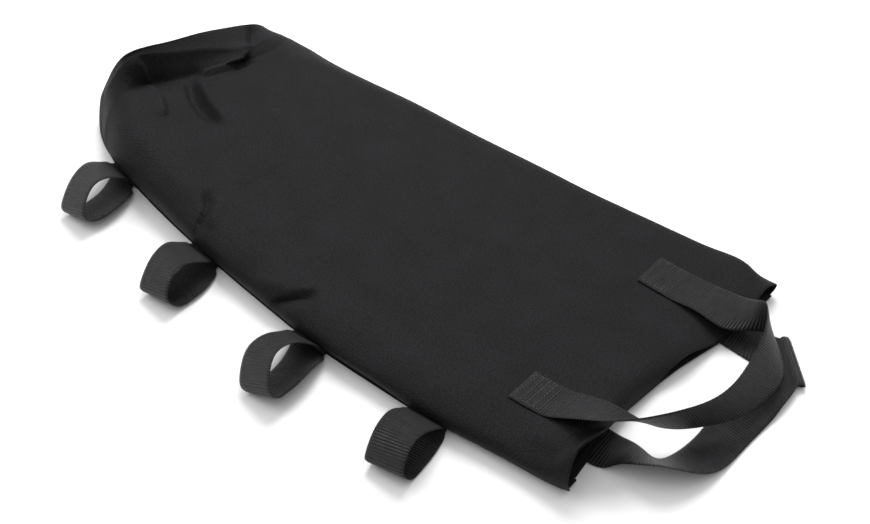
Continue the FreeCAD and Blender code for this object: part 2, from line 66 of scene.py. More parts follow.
HALF_WIDTH = 0.5 * WEBBING_WIDTH
WEBBING_REST = 1.4             # height of the middle of webbing that lies on the floor
LOWEST_CLOTH = 0.4             # height of the cloth's outside where it rests

# ------------------------------------------------------------------ curves


def spline(points, places, knots=None):
    """Natural cubic spline through rows of points, read at places between 0 and 1."""
    points = np.asarray(points, float)
    count = len(points)
    if knots is None:
        flat = points.reshape(count, -1)
        steps = np.linalg.norm(np.diff(flat, axis=0), axis=1) ** 0.5
        knots = np.concatenate([[0.0], np.cumsum(steps)])
    knots = np.asarray(knots, float) / knots[-1]
    gaps = np.diff(knots)
    shape = (-1,) + (1,) * (points.ndim - 1)
    slopes = np.diff(points, axis=0) / gaps.reshape(shape)
    matrix = np.eye(count)
    right = np.zeros_like(points)
    for i in range(1, count - 1):
        matrix[i, i - 1] = gaps[i - 1]
        matrix[i, i] = 2 * (gaps[i - 1] + gaps[i])
        matrix[i, i + 1] = gaps[i]
        right[i] = 6 * (slopes[i] - slopes[i - 1])
    bends = np.linalg.solve(matrix, right.reshape(count, -1)).reshape(points.shape)
    places = np.asarray(places, float)
    i = np.clip(np.searchsorted(knots, places, side="right") - 1, 0, count - 2)
    h = gaps[i].reshape(shape)
    a = (knots[i + 1] - places).reshape(shape)
    b = (places - knots[i]).reshape(shape)
    cubic = (bends[i] * a**3 + bends[i + 1] * b**3) / (6 * h)
    return (cubic + (points[i] / h - bends[i] * h / 6) * a
            + (points[i + 1] / h - bends[i + 1] * h / 6) * b)


def arc_lengths(line):
    steps = np.linalg.norm(np.diff(line, axis=0), axis=1)
    return np.concatenate([[0.0], np.cumsum(steps)])


def even_path(points, count):
    """Evenly spaced points on the smooth curve through some points."""
    fine = spline(points, np.linspace(0, 1, 20 * len(points) + 200))
    along = arc_lengths(fine)
    wanted = np.linspace(0, along[-1], count)
    return np.stack([np.interp(wanted, along, fine[:, k]) for k in range(3)], axis=1)


def smooth(value, low, high):
    t = np.clip((value - low) / (high - low), 0, 1)
    return t * t * (3 - 2 * t)


# ------------------------------------------------------------------ meshes


def grid_normals(grid):
    along = np.gradient(grid, axis=0)
    across = np.gradient(grid, axis=1)
    normals = np.cross(along, across)
    return normals / np.maximum(np.linalg.norm(normals, axis=2, keepdims=True), 1e-9)


def make_mesh(name, points, faces, uvs=None, is_smooth=True):
    """A mesh object from points in millimetres. The map, also in millimetres, is kept in metres."""
    mesh = bpy.data.meshes.new(name)
    mesh.from_pydata((np.asarray(points) * MM).tolist(), [], faces)
    if uvs is not None:
        layer = mesh.uv_layers.new(name="cloth_map")
        corner = np.empty(len(mesh.loops), np.int32)
        mesh.loops.foreach_get("vertex_index", corner)
        layer.data.foreach_set("uv", (np.asarray(uvs) * MM)[corner].astype(np.float32).ravel())
    if is_smooth:
        mesh.polygons.foreach_set("use_smooth", [True] * len(mesh.polygons))
    mesh.update()
    obj = bpy.data.objects.new(name, mesh)
    bpy.context.scene.collection.objects.link(obj)
    return obj


def grid_faces(rows, columns, start=0, flip=False):
    faces = []
    for i in range(rows - 1):
        for j in range(columns - 1):
            a = start + i * columns + j
            quad = (a, a + columns, a + columns + 1, a + 1)
            faces.append(quad[::-1] if flip else quad)
    return faces


def sheet_parts(grid, thickness, uv_grid, inward=1.0):
    """Points, faces and map of a cloth sheet with closed edges, its outside on the grid."""
    rows, columns = grid.shape[:2]
    inner = grid - inward * thickness * grid_normals(grid)
    size = rows * columns
    flip = inward < 0
    faces = grid_faces(rows, columns, 0, flip) + grid_faces(rows, columns, size, not flip)
    border = [(i, 0) for i in range(rows - 1)]
    border += [(rows - 1, j) for j in range(columns - 1)]
    border += [(i, columns - 1) for i in range(rows - 1, 0, -1)]
    border += [(0, j) for j in range(columns - 1, 0, -1)]
    ring = [i * columns + j for i, j in border]
    for here, after in zip(ring, ring[1:] + ring[:1]):
        quad = (here, here + size, after + size, after)
        faces.append(quad[::-1] if flip else quad)
    points = np.concatenate([grid.reshape(-1, 3), inner.reshape(-1, 3)])
    return points, faces, np.concatenate([uv_grid.reshape(-1, 2)] * 2)


def joined(name, parts):
    """One mesh object out of several sets of points, faces and maps."""
    all_faces = []
    start = 0
    for points, faces, _ in parts:
        all_faces += [tuple(corner + start for corner in face) for face in faces]
        start += len(points)
    points = np.concatenate([part[0] for part in parts])
    return make_mesh(name, points, all_faces, np.concatenate([part[2] for part in parts]))


def sheet_object(name, grid, thickness, uv_grid, inward=1.0):
    return make_mesh(name, *sheet_parts(grid, thickness, uv_grid, inward))


def length_map(grid):
    """Distances along and across a grid, for a weave that follows the cloth."""
    along = np.concatenate([np.zeros((1, grid.shape[1])),
                            np.cumsum(np.linalg.norm(np.diff(grid, axis=0), axis=2), axis=0)])
    across = np.concatenate([np.zeros((grid.shape[0], 1)),
                             np.cumsum(np.linalg.norm(np.diff(grid, axis=1), axis=2), axis=1)], axis=1)
    along = np.repeat(along.mean(axis=1, keepdims=True), grid.shape[1], axis=1)
    return np.stack([along, across], axis=2)


# ------------------------------------------------------------------ the bag's shape

# Each row runs over the bag from the side seam, up the near side, across and round the far fold.
# The first four rows follow the standing closed end: its ridge, the ridge's inner edge, the foot
# of the slope behind it, and the first of the plain body.
RIDGE = [
    (-262, -107, 4), (-285, -96, 15), (-300, -79, 32), (-301, -69, 49), (-295, -60, 66),
    (-281, -48, 82), (-276, -12, 74), (-273, 24, 65), (-269, 58, 55), (-262, 88, 46),
    (-262, 106, 30), (-260, 110, 13), (-260, 100, 1)]
RIDGE_EDGE = [
    (-258, -109, 4), (-277, -102, 17), (-292, -86, 34), (-292, -76, 51), (-285, -64, 68),
    (-276, -47, 78), (-267, -14, 67), (-258, 18, 57), (-247, 46, 47), (-240, 74, 42),
    (-248, 109, 28), (-246, 115, 13), (-246, 105, 1)]
SLOPE_FOOT = [
    (-250, -112, 4), (-262, -112, 18), (-271, -99, 37), (-270, -87, 50), (-268, -70, 55),
    (-267, -49, 49), (-258, -25, 44), (-249, 8, 40), (-238, 42, 36), (-229, 76, 35),
    (-236, 110, 27), (-234, 118, 13), (-234, 108, 1)]
BODY_START = [
    (-236, -117, 4), (-240, -121, 18), (-240, -115, 36), (-238, -104, 49), (-236, -88, 53),
    (-229, -64, 49), (-222, -32, 43), (-218, 5, 42), (-214, 44, 39), (-212, 78, 36),
    (-214, 109, 27), (-212, 120, 14), (-212, 110, 1)]
# Plain stretches: x, near y, far y, height near, in the middle, at the far quarter and far
BODY = [
    (-180, -129, 119, 46, 40, 37, 29), (-130, -138, 123, 39, 36, 33, 26),
    (-70, -147, 127, 34, 31, 28, 23), (0, -155, 129, 31, 28, 25, 20),
    (70, -161, 132, 30, 26, 21, 18), (140, -160, 136, 28, 23, 17, 16),
    (200, -157, 141, 27, 21, 15, 15), (250, -152, 145, 27, 19, 13, 14),
    (290, -149, 145, 33, 18, 11, 16)]
MOUTH_RIM = [
    (308, -146, 5), (309, -151, 17), (308, -150, 30), (306, -142, 41), (304, -131, 44),
    (303, -112, 36), (301, -92, 23), (299, -72, 13), (298, -52, 9), (299, -30, 8),
    (301, -9, 9.5), (304, 16, 17), (309, 40, 11), (313, 60, 7.5), (314, 85, 9),
    (315, 107, 14), (316, 126, 20), (318, 141, 12), (316, 134, 3)]
# Edge of the underside at the mouth: y and x
LOWER_RIM = [(-146, 308), (-132, 309), (-112, 306), (-73, 298), (-9, 302), (16, 305), (60, 314), (145, 318)]


def body_row(x, near, far, near_h, middle_h, quarter_h, far_h):
    """The cross-section of the plain body, with the same number of points as the ridge rows."""
    width = far - near
    radius = 0.5 * far_h
    return [
        (x, near, 4), (x, near - 4, 0.38 * near_h), (x, near - 2.5, 0.70 * near_h),
        (x, near + 0.035 * width, 0.92 * near_h), (x, near + 0.09 * width, near_h),
        (x, near + 0.20 * width, 0.35 * middle_h + 0.65 * near_h),
        (x, near + 0.36 * width, 0.8 * middle_h + 0.2 * near_h),
        (x, near + 0.53 * width, middle_h),
        (x, near + 0.70 * width, 0.3 * middle_h + 0.7 * quarter_h),
        (x, near + 0.86 * width, 0.5 * quarter_h + 0.5 * far_h),
        (x, far - radius, far_h), (x, far, radius), (x, far - radius, 1)]


def between(first, second, share):
    first = np.array(first, float)
    return first + (np.array(second, float) - first) * share


SECTIONS = [
    RIDGE, between(RIDGE, RIDGE_EDGE, 0.15), between(RIDGE, RIDGE_EDGE, 0.85), RIDGE_EDGE,
    between(RIDGE_EDGE, SLOPE_FOOT, 0.12), between(RIDGE_EDGE, SLOPE_FOOT, 0.9), SLOPE_FOOT,
    between(SLOPE_FOOT, BODY_START, 0.15), BODY_START]
SECTIONS += [body_row(*row) for row in BODY] + [MOUTH_RIM]
ROWS_ALONG = 330
COLUMNS_ACROSS = 190


def loft(sections, count_along, count_across):
    """A smooth surface through cross-sections, each given by its own number of points."""
    shares = np.linspace(0, 1, count_across)
    across = np.array([spline(section, shares, np.arange(len(section))) for section in sections])
    steps = np.linalg.norm(np.diff(across, axis=0), axis=2).mean(axis=1)
    knots = np.concatenate([[0.0], np.cumsum(steps)])
    return spline(across, np.linspace(0, 1, count_along), knots)


top = loft(SECTIONS, ROWS_ALONG, COLUMNS_ACROSS)


def crease(grid, line, height, left_width, right_width, ends):
    """Raise, or with a negative height press in, the sheet along a line of points.

    The widths give how far it reaches on the line's left and right, seen from outside.
    The ends are the share of the line over which it fades in, and again out."""
    normals = grid_normals(grid)
    path = even_path(line, 40)
    along = arc_lengths(path) / arc_lengths(path)[-1]
    best = np.full(grid.shape[:2], np.inf)
    side = np.zeros(grid.shape[:2])
    place = np.zeros(grid.shape[:2])
    for i in range(len(path) - 1):
        start, step = path[i], path[i + 1] - path[i]
        t = np.clip(((grid - start) @ step) / (step @ step), 0, 1)
        gap = grid - (start + t[..., None] * step)
        distance = np.linalg.norm(gap, axis=2)
        closer = distance < best
        best = np.where(closer, distance, best)
        left = np.einsum("ijk,ijk->ij", np.cross(normals, step), gap)
        side = np.where(closer, left, side)
        place = np.where(closer, along[i] + t * (along[i + 1] - along[i]), place)
    width = np.where(side > 0, left_width, right_width)
    fade = smooth(place, 0.0, ends) * smooth(1 - place, 0.0, ends)
    lift = height * fade * np.exp(-((best / width) ** 2))
    return grid + normals * lift[..., None]


# folds of the closed end: line, height, reach on its left and right, length of its fading ends
CREASES = [
    ([(-246, -4, 41), (-241, 12, 40), (-238, 28, 38), (-237, 44, 37), (-240, 62, 38)], 6.5, 9, 2.0, 0.15),
    ([(-243, -3, 41), (-237, 12, 38), (-233, 28, 37), (-232, 46, 36), (-234, 58, 36)], -6.0, 2.2, 4.5, 0.2),
    ([(-255, -6, 44), (-230, -26, 43), (-210, -34, 42), (-192, -39, 41), (-172, -44, 40)],
     -7.5, 6.5, 4.5, 0.3),
    ([(-243, -4, 44), (-214, -20, 44), (-192, -28, 43), (-165, -36, 41)], 5.5, 6, 4.0, 0.3),
    ([(-280, -49, 80), (-264, -47, 57), (-250, -50, 53), (-236, -57, 51), (-215, -70, 50)],
     4.5, 2.5, 12, 0.12),
    ([(-262, 88, 46), (-252, 79, 44), (-238, 64, 42)], -5.0, 5.0, 6, 0.3),
    ([(-292, -62, 60), (-284, -54, 62), (-276, -48, 62)], -3.5, 2.5, 2.5, 0.2),
]
# dents and folds along the near side
CREASES += [
    ([(-240, -113, 10), (-220, -117, 14), (-196, -122, 16)], -5.0, 5, 6, 0.3),
    ([(-128, -108, 38), (-112, -124, 32), (-104, -146, 18)], -7.0, 9, 3.5, 0.3),
    ([(-118, -104, 38), (-100, -122, 34), (-92, -140, 26)], 3.5, 6, 6, 0.3),
    ([(-30, -150, 18), (-4, -146, 24), (10, -140, 27)], 3.0, 6, 6, 0.3),
    ([(-2, -158, 14), (14, -148, 24), (36, -130, 31)], -7.5, 3.5, 9, 0.3),
    ([(10, -160, 8), (40, -158, 14), (80, -160, 12), (160, -160, 12)], -2.5, 5, 6, 0.3),
]
for line, height, left_width, right_width, ends in CREASES:
    top = crease(top, line, height, left_width, right_width, ends)

# slight unevenness of the cloth: broad waves, and finer ones over them
BROAD_WAVE_HEIGHT = 1.3
FINE_WAVE_HEIGHT = 0.22
broad = np.array([[noise.noise(Vector((p[0] / 95, p[1] / 60, 3.1))) for p in line] for line in top])
fine = np.array([[noise.noise(Vector((p[0] / 26, p[1] / 19, p[2] / 22))) for p in line] for line in top])
top = top + grid_normals(top) * (BROAD_WAVE_HEIGHT * broad + FINE_WAVE_HEIGHT * fine)[..., None]
top[..., 2] = np.maximum(top[..., 2], LOWEST_CLOTH)

# ------------------------------------------------------------------ materials


def shader(name):
    material = bpy.data.materials.new(name)
    material.use_nodes = True
    tree = material.node_tree
    return material, tree, tree.nodes["Principled BSDF"]


def link(tree, a, b):
    tree.links.new(a, b)


def math_node(tree, operation, first, second=None):
    node = tree.nodes.new("ShaderNodeMath")
    node.operation = operation
    for socket, value in ((node.inputs[0], first), (node.inputs[1], second)):
        if value is None:
            continue
        if isinstance(value, (int, float)):
            socket.default_value = value
        else:
            link(tree, value, socket)
    return node.outputs[0]


def texture_place(tree, is_map=True):
    if is_map:
        place = tree.nodes.new("ShaderNodeUVMap")
        place.uv_map = "cloth_map"
        return place.outputs["UV"]
    return tree.nodes.new("ShaderNodeTexCoord").outputs["Object"]


def noise_texture(tree, place, scale, detail=2.0, roughness=0.5):
    node = tree.nodes.new("ShaderNodeTexNoise")
    node.inputs["Scale"].default_value = scale
    node.inputs["Detail"].default_value = detail
    node.inputs["Roughness"].default_value = roughness
    link(tree, place, node.inputs["Vector"])
    return node.outputs["Fac"]


def ramp(tree, value, low, high, low_colour, high_colour):
    node = tree.nodes.new("ShaderNodeValToRGB")
    node.color_ramp.elements[0].position = low
    node.color_ramp.elements[0].color = (*low_colour, 1)
    node.color_ramp.elements[1].position = high
    node.color_ramp.elements[1].color = (*high_colour, 1)
    link(tree, value, node.inputs["Fac"])
    return node.outputs["Color"]


def woven_material(name, dark, light, yarn_pitch, roughness, sheen, bump_height):
    """Plain-woven cloth: crossing yarns in relief, mottled colour and faint lint."""
    material, tree, bsdf = shader(name)
    place = texture_place(tree)
    split = tree.nodes.new("ShaderNodeSeparateXYZ")
    link(tree, place, split.inputs[0])
    turn = math.pi / yarn_pitch
    warp = math_node(tree, "SINE", math_node(tree, "MULTIPLY", split.outputs["X"], turn))
    weft = math_node(tree, "SINE", math_node(tree, "MULTIPLY", split.outputs["Y"], turn))
    crossing = math_node(tree, "MULTIPLY", warp, weft)
    fibres = noise_texture(tree, place, 2600, 3.0, 0.6)
    relief = math_node(tree, "ADD", crossing, math_node(tree, "MULTIPLY", fibres, 1.3))
    bump = tree.nodes.new("ShaderNodeBump")
    bump.inputs["Strength"].default_value = 0.8
    bump.inputs["Distance"].default_value = bump_height
    link(tree, relief, bump.inputs["Height"])
    link(tree, bump.outputs["Normal"], bsdf.inputs["Normal"])
    mottle = noise_texture(tree, place, 30, 5.0, 0.62)
    speckle = noise_texture(tree, place, 620, 3.0, 0.8)
    mixed = math_node(tree, "ADD", math_node(tree, "MULTIPLY", mottle, 0.2),
                      math_node(tree, "MULTIPLY", speckle, 0.8))
    link(tree, ramp(tree, mixed, 0.40, 0.64, dark, light), bsdf.inputs["Base Color"])
    rough = tree.nodes.new("ShaderNodeMapRange")
    rough.inputs["To Min"].default_value = roughness - 0.07
    rough.inputs["To Max"].default_value = roughness + 0.07
    link(tree, mottle, rough.inputs["Value"])
    link(tree, rough.outputs["Result"], bsdf.inputs["Roughness"])
    bsdf.inputs["Sheen Weight"].default_value = sheen
    bsdf.inputs["Sheen Roughness"].default_value = 0.45
    bsdf.inputs["Specular IOR Level"].default_value = 0.12
    return material


YARN_PITCH = 0.0011             # metres between the yarns that run along the webbing


def webbing_material(name, dark, light, rib_pitch, roughness):
    """Ribbed webbing: ribs across the strap and fine yarns along it."""
    material, tree, bsdf = shader(name)
    place = texture_place(tree)
    split = tree.nodes.new("ShaderNodeSeparateXYZ")
    link(tree, place, split.inputs[0])
    rib_turn = 2 * math.pi / rib_pitch
    yarn_turn = 2 * math.pi / YARN_PITCH
    rib = math_node(tree, "SINE", math_node(tree, "MULTIPLY", split.outputs["X"], rib_turn))
    yarn = math_node(tree, "SINE", math_node(tree, "MULTIPLY", split.outputs["Y"], yarn_turn))
    fibres = noise_texture(tree, place, 1800, 3.0, 0.6)
    relief = math_node(tree, "ADD", rib,
                       math_node(tree, "ADD", math_node(tree, "MULTIPLY", yarn, 0.35),
                                 math_node(tree, "MULTIPLY", fibres, 0.9)))
    bump = tree.nodes.new("ShaderNodeBump")
    bump.inputs["Strength"].default_value = 0.9
    bump.inputs["Distance"].default_value = 0.00028
    link(tree, relief, bump.inputs["Height"])
    link(tree, bump.outputs["Normal"], bsdf.inputs["Normal"])
    # base colour: painted highlight on the rib crests and painted shade in the hollows between them, over
    # random tone of the webbing
    painted_rib_light_and_tone = math_node(tree, "ADD", math_node(tree, "MULTIPLY", rib, 0.16),
                      noise_texture(tree, place, 140, 4.0, 0.65))
    link(tree, ramp(tree, painted_rib_light_and_tone, 0.3, 0.75, dark, light), bsdf.inputs["Base Color"])
    bsdf.inputs["Roughness"].default_value = roughness
    bsdf.inputs["Sheen Weight"].default_value = 0.04
    bsdf.inputs["Sheen Roughness"].default_value = 0.4
    bsdf.inputs["Specular IOR Level"].default_value = 0.26
    return material


def thread_material(name, colour):
    material, tree, bsdf = shader(name)
    place = texture_place(tree, False)
    fibres = noise_texture(tree, place, 3000, 2.0, 0.6)
    link(tree, ramp(tree, fibres, 0.3, 0.7, [0.6 * c for c in colour], colour), bsdf.inputs["Base Color"])
    bump = tree.nodes.new("ShaderNodeBump")
    bump.inputs["Distance"].default_value = 0.0001
    link(tree, fibres, bump.inputs["Height"])
    link(tree, bump.outputs["Normal"], bsdf.inputs["Normal"])
    bsdf.inputs["Roughness"].default_value = 0.5
    return material


CLOTH = woven_material("woven_black_cloth", (0.0008, 0.0008, 0.0011), (0.0150, 0.0151, 0.0172),
                       0.0009, 0.60, 0.02, 0.00018)
WEBBING = webbing_material("ribbed_black_webbing", (0.0030, 0.0031, 0.0037), (0.0155, 0.0157, 0.0176),
                           0.0025, 0.40)
THREAD = thread_material("black_thread", (0.010, 0.010, 0.012))
PATCH_THREAD = thread_material("grey_black_thread", (0.065, 0.066, 0.072))


def dress(obj, material, slot_name, body, *nodes):
    """Give a piece its material and its body, and hide the solids that it stands for; the slot name is not
    used.
    """
    obj.data.materials.clear()
    obj.data.materials.append(material)
    if body:
        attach(obj, body)
    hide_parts(*nodes)
    return obj


# ------------------------------------------------------------------ bag pieces

front = sheet_object("front_cloth", top, CLOTH_THICKNESS, length_map(top))
dress(front, CLOTH, "cloth", "bag", "front_panel")

# underside, from the side seam to the far fold


HANDLE_STEP = 2.4
STEP_START, STEP_END = 140, 212


def underside_z(x):
    """Height of the underside, which steps up over the handle ends sewn beneath it."""
    return LOWEST_CLOTH + HANDLE_STEP * smooth(x, STEP_START, STEP_END)


UNDERSIDE_COLUMNS = 70
RIM_BLEND_START, RIM_BLEND_END = 270, 306
top_rim_x = 0.5 * (top[-1][0][0] + top[-1][-1][0])
underside_rows = []
for line in top[::3]:
    near, far = line[0], line[-1]
    row = near + (far - near) * np.linspace(0, 1, UNDERSIDE_COLUMNS)[:, None]
    rim_x = np.interp(row[:, 1], *zip(*LOWER_RIM))
    row[:, 0] += smooth(row[:, 0], RIM_BLEND_START, RIM_BLEND_END) * (rim_x - top_rim_x)
    row[:, 2] = underside_z(row[:, 0])
    underside_rows.append(row)
under = np.array(underside_rows)
back = sheet_object("back_cloth", under, CLOTH_THICKNESS, length_map(under), -1.0)
dress(back, CLOTH, "cloth", "bag", "back_panel")

# closed end: from the ridge line down to the floor, bulging outwards most where it is tall
END_FOOT_OUT = 4
END_FOOT_HEIGHT = 0.6
END_BULGE = 9
FULL_BULGE_HEIGHT = 40
END_STEPS = 30
end_rows = []
for point in top[0][::2]:
    foot = np.array([point[0] - END_FOOT_OUT, point[1], END_FOOT_HEIGHT])
    drops = np.linspace(0, 1, END_STEPS)[:, None]
    line = point + (foot - point) * drops
    line[:, 0] -= END_BULGE * np.sin(np.pi * drops[:, 0]) * min(1.0, point[2] / FULL_BULGE_HEIGHT)
    end_rows.append(line)
end = np.array(end_rows)
base = sheet_object("base_cloth", end, CLOTH_THICKNESS, length_map(end), 1.0)
dress(base, CLOTH, "cloth", "bag", "base_panel")

# ------------------------------------------------------------------ webbing


RIBBON_COLUMNS = 15
SELVEDGE_ROUNDING = 1.2


def ribbon(name, pairs, samples):
    """A webbing strap between two selvedges given by pairs of points."""
    pairs = np.array(pairs, float)
    lines = spline(pairs, np.linspace(0, 1, 12 * len(pairs) + 60))
    middle = lines.mean(axis=1)
    along = arc_lengths(middle)
    wanted = np.linspace(0, along[-1], samples)
    rows = np.array([[np.interp(wanted, along, lines[:, side, k]) for k in range(3)] for side in (0, 1)])
    rows = rows.transpose(2, 0, 1)
    shares = np.linspace(0, 1, RIBBON_COLUMNS)[None, :, None]
    grid = rows[:, 0:1] + (rows[:, 1:2] - rows[:, 0:1]) * shares
    normals = grid_normals(grid)
    # cross-section: the two faces drawn in to rounded selvedges
    edge = np.minimum(shares, 1 - shares) * WEBBING_WIDTH
    inset = 1 - np.clip(edge / SELVEDGE_ROUNDING, 0, 1)
    half = 0.5 * WEBBING_THICKNESS * np.sqrt(np.clip(1 - inset ** 2, 0.03, 1))
    upper = grid + normals * half
    lower = grid - normals * half
    ring = np.concatenate([upper, lower[:, ::-1]], axis=1)
    count = ring.shape[1]
    points = ring.reshape(-1, 3)
    across = np.linspace(0, WEBBING_WIDTH, RIBBON_COLUMNS)
    across = np.concatenate([across, across[::-1]])
    uvs = np.stack(np.meshgrid(wanted, across, indexing="ij"), axis=2).reshape(-1, 2)
    faces = []
    for i in range(samples - 1):
        for j in range(count):
            k = (j + 1) % count
            a = i * count
            b = a + count
            faces.append((a + j, b + j, b + k, a + k))
    faces.append(tuple(range(count)))
    faces.append(tuple(reversed(range((samples - 1) * count, samples * count))))
    return make_mesh(name, points, faces, uvs)


UPPER_SIDE = 6.0                # points of the upper cloth above this height are on its top
FITTED_POINTS = 9


def surface_frame(x, y):
    """Height of the bag's upper side at a place, and its normal there, from the nearest points."""
    flat = top.reshape(-1, 3)
    flat = flat[flat[:, 2] > UPPER_SIDE]
    gaps = flat[:, :2] - (x, y)
    nearest = np.argpartition((gaps**2).sum(axis=1), FITTED_POINTS)[:FITTED_POINTS]
    plane = np.column_stack([np.ones(FITTED_POINTS), gaps[nearest]])
    height, rise_x, rise_y = np.linalg.lstsq(plane, flat[nearest, 2], rcond=None)[0]
    normal = np.array([-rise_x, -rise_y, 1.0])
    return height, normal / np.linalg.norm(normal)


def top_height(x, y):
    return surface_frame(x, y)[0]


# middles of the handles' strands, across the bag
FAR_STRAND = 84.0
NEAR_STRAND = -97.0
BACK_FAR_STRAND = 80.0
BACK_NEAR_STRAND = -93.0
SEWN_LIFT = 1.2                 # from the cloth to the middle of the webbing sewn on it
SEWN_PLACES = (224, 236, 250, 260)


def flat_pair(x, strand_y):
    """A pair of selvedge points lying on the bag's upper side, far one first."""
    far_y = strand_y + HALF_WIDTH
    near_y = strand_y - HALF_WIDTH
    return [(x, far_y, top_height(x, far_y) + SEWN_LIFT), (x, near_y, top_height(x, near_y) + SEWN_LIFT)]


front_pairs = [flat_pair(x, FAR_STRAND) for x in SEWN_PLACES]
front_pairs += [
    [(286, 102, 18), (287, 64, 18.5)], [(316, 101, 25), (316, 65, 17)], [(334, 90, 40), (339, 86, 12)],
    [(347, 64, 36), (362, 73, 12.5)], [(353, 36, 33), (377, 50, 13)], [(357, 8, 36), (378, 22, 13)],
    [(356, -20, 40), (372, -5, 13)], [(346, -50, 45), (354, -36, 15)], [(328, -80, 48), (332, -60, 20)],
    [(309, -106, 53), (308, -74, 34)], [(286, -113, 44), (286, -77, 35)]]
front_pairs += [flat_pair(x, NEAR_STRAND)[::-1] for x in SEWN_PLACES[::-1]]
front_handle = ribbon("front_handle_webbing", front_pairs, 260)
dress(front_handle, WEBBING, "webbing", None,
      "front_handle", "front_handle_near_end", "front_handle_far_end")


def floor_pair(x, strand_y):
    """A pair of selvedge points lying on the floor under the bag, far one first."""
    return [(x, strand_y + HALF_WIDTH, WEBBING_REST), (x, strand_y - HALF_WIDTH, WEBBING_REST)]


back_pairs = [floor_pair(x, BACK_FAR_STRAND) for x in (224, 258, 310)]
back_pairs += [
    [(350, 99, WEBBING_REST), (386, 61, WEBBING_REST)], [(355, 101, 4), (393, 63, 4)],
    [(351, 97, 6.6), (389, 59, 6.6)], [(351, 86, 6.6), (389, 52, 6.6)], [(352, 60, 6), (390, 32, 6)],
    [(352, 20, 3), (390, 15, 3)], [(351, -15, 1.6), (388, -20, 1.6)], [(351.5, -36, 2), (386, -54, 5)],
    [(349, -57, 2), (375, -79, 17)], [(341, -74, 1.6), (357, -96, 27)],
    [(330, -74, WEBBING_REST), (342, -102, 22.5)], [(318, -72.5, WEBBING_REST), (325, -106, 13)],
    [(309, -73.5, WEBBING_REST), (314.5, -109, 2.8)], [(301, -74, WEBBING_REST), (304, -112, WEBBING_REST)]]
back_pairs += [floor_pair(x, BACK_NEAR_STRAND) for x in (278, 258, 224)]
back_handle = ribbon("back_handle_webbing", back_pairs, 300)
dress(back_handle, WEBBING, "webbing", None, "back_handle", "back_handle_near_end", "back_handle_far_end")

for strap, body in ((front_handle, "front_handle_strap"), (back_handle, "back_handle_strap")):
    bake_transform(strap)

# Each loop: place of its middle along the bag, its reach and height, how far its top and
# its outer end are shifted towards the mouth, how far in degrees the webbing leans as it
# rises, at its outer end and on its way back, and how far its outer end is turned
LOOPS = {
    "loop_1": (-231.0, 68.0, 33.0, 18.0, 32.0, 8.0, 21.0, 14.0, 12.0),
    "loop_2": (-94.0, 67.0, 30.0, 9.0, 21.0, 2.0, 19.0, 4.0, 10.0),
    "loop_3": (48.5, 74.0, 35.0, 0.0, 18.0, 21.0, 28.0, 21.0, 7.0),
    "loop_4": (178.0, 66.0, 30.0, 2.0, 8.0, 1.0, 14.0, 1.0, 3.0),
}
# The line of every loop, from the seam out over the top and back along the floor:
# shares of its reach and height, of its two shifts, and of its three leans
LOOP_LINE = [
    (0.10, 0.33, 0.1, 0.0, 0.3, 0.0, 0.0),
    (0.22, 0.58, 0.3, 0.0, 0.7, 0.0, 0.0),
    (0.43, 0.92, 0.6, 0.0, 1.0, 0.0, 0.0),
    (0.70, 0.98, 1.0, 0.0, 0.2, 0.8, 0.0),
    (0.92, 0.74, 0.7, 0.45, 0.0, 1.0, 0.0),
    (1.00, 0.46, 0.3, 0.80, 0.0, 0.75, 0.25),
    (0.96, 0.28, 0.0, 1.00, 0.0, 0.4, 0.6),
    (0.85, 0.0, 0.0, 1.00, 0.0, 0.1, 0.9),
    (0.65, 0.0, 0.0, 0.95, 0.0, 0.0, 1.0),
    (0.42, 0.0, 0.0, 0.80, 0.0, 0.0, 1.0),
    (0.24, 0.0, 0.0, 0.55, 0.0, 0.0, 0.7),
    (0.12, 0.0, 0.0, 0.28, 0.0, 0.0, 0.25),
]
SEAM_SLOPE_REACH = 5            # each way, for the seam's direction
SEAM_RISE = 2.7                 # of the seam's middle above the underside
TAIL_RISE = 0.95                # from the seam's middle to that of each of a loop's two layers
TAIL_PLACES = (-14, -6, 2.5)    # out from the seam, from the ends sewn inside it


def seam_y(x):
    return float(np.interp(x, top[:, 0, 0], top[:, 0, 1]))


def seam_frame(x):
    """Middle of the side seam at x, with the directions along it and out from the bag."""
    rise = (seam_y(x + SEAM_SLOPE_REACH) - seam_y(x - SEAM_SLOPE_REACH)) / (2 * SEAM_SLOPE_REACH)
    along = np.array([1.0, rise, 0.0]) / math.hypot(1, rise)
    outward = np.array([along[1], -along[0], 0.0])
    return np.array([x, seam_y(x), underside_z(x) + SEAM_RISE]), along, outward


def level_pair(root, along, outward, out, rise):
    middle = root + outward * out + np.array([0, 0, rise])
    return [middle - along * HALF_WIDTH, middle + along * HALF_WIDTH]


for name, measures in LOOPS.items():
    middle_x, reach, height, top_shift, end_shift, *leans, turn = measures
    root, along, outward = seam_frame(middle_x)
    pairs = [level_pair(root, along, outward, out, TAIL_RISE) for out in TAIL_PLACES]
    for reach_share, height_share, top_share, end_share, *lean_shares in LOOP_LINE:
        lean = math.radians(np.dot(leans, lean_shares))
        twist = math.radians(turn * math.sqrt(reach_share))
        flat = along * math.cos(twist) - outward * math.sin(twist)
        half = (flat * math.cos(lean) + np.array([0, 0, math.sin(lean)])) * HALF_WIDTH
        shift = top_shift * top_share + end_shift * end_share
        middle = root + outward * reach * reach_share + along * shift
        middle[2] = max(height * height_share, WEBBING_REST + HALF_WIDTH * math.sin(lean))
        pairs.append([middle - half, middle + half])
    pairs += [level_pair(root, along, outward, out, -TAIL_RISE) for out in TAIL_PLACES[::-1]]
    loop = ribbon(name + "_webbing", pairs, 130)
    dress(loop, WEBBING, "webbing", None, name, name + "_tail")
    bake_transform(loop)

# ------------------------------------------------------------------ hems, tapes and linings


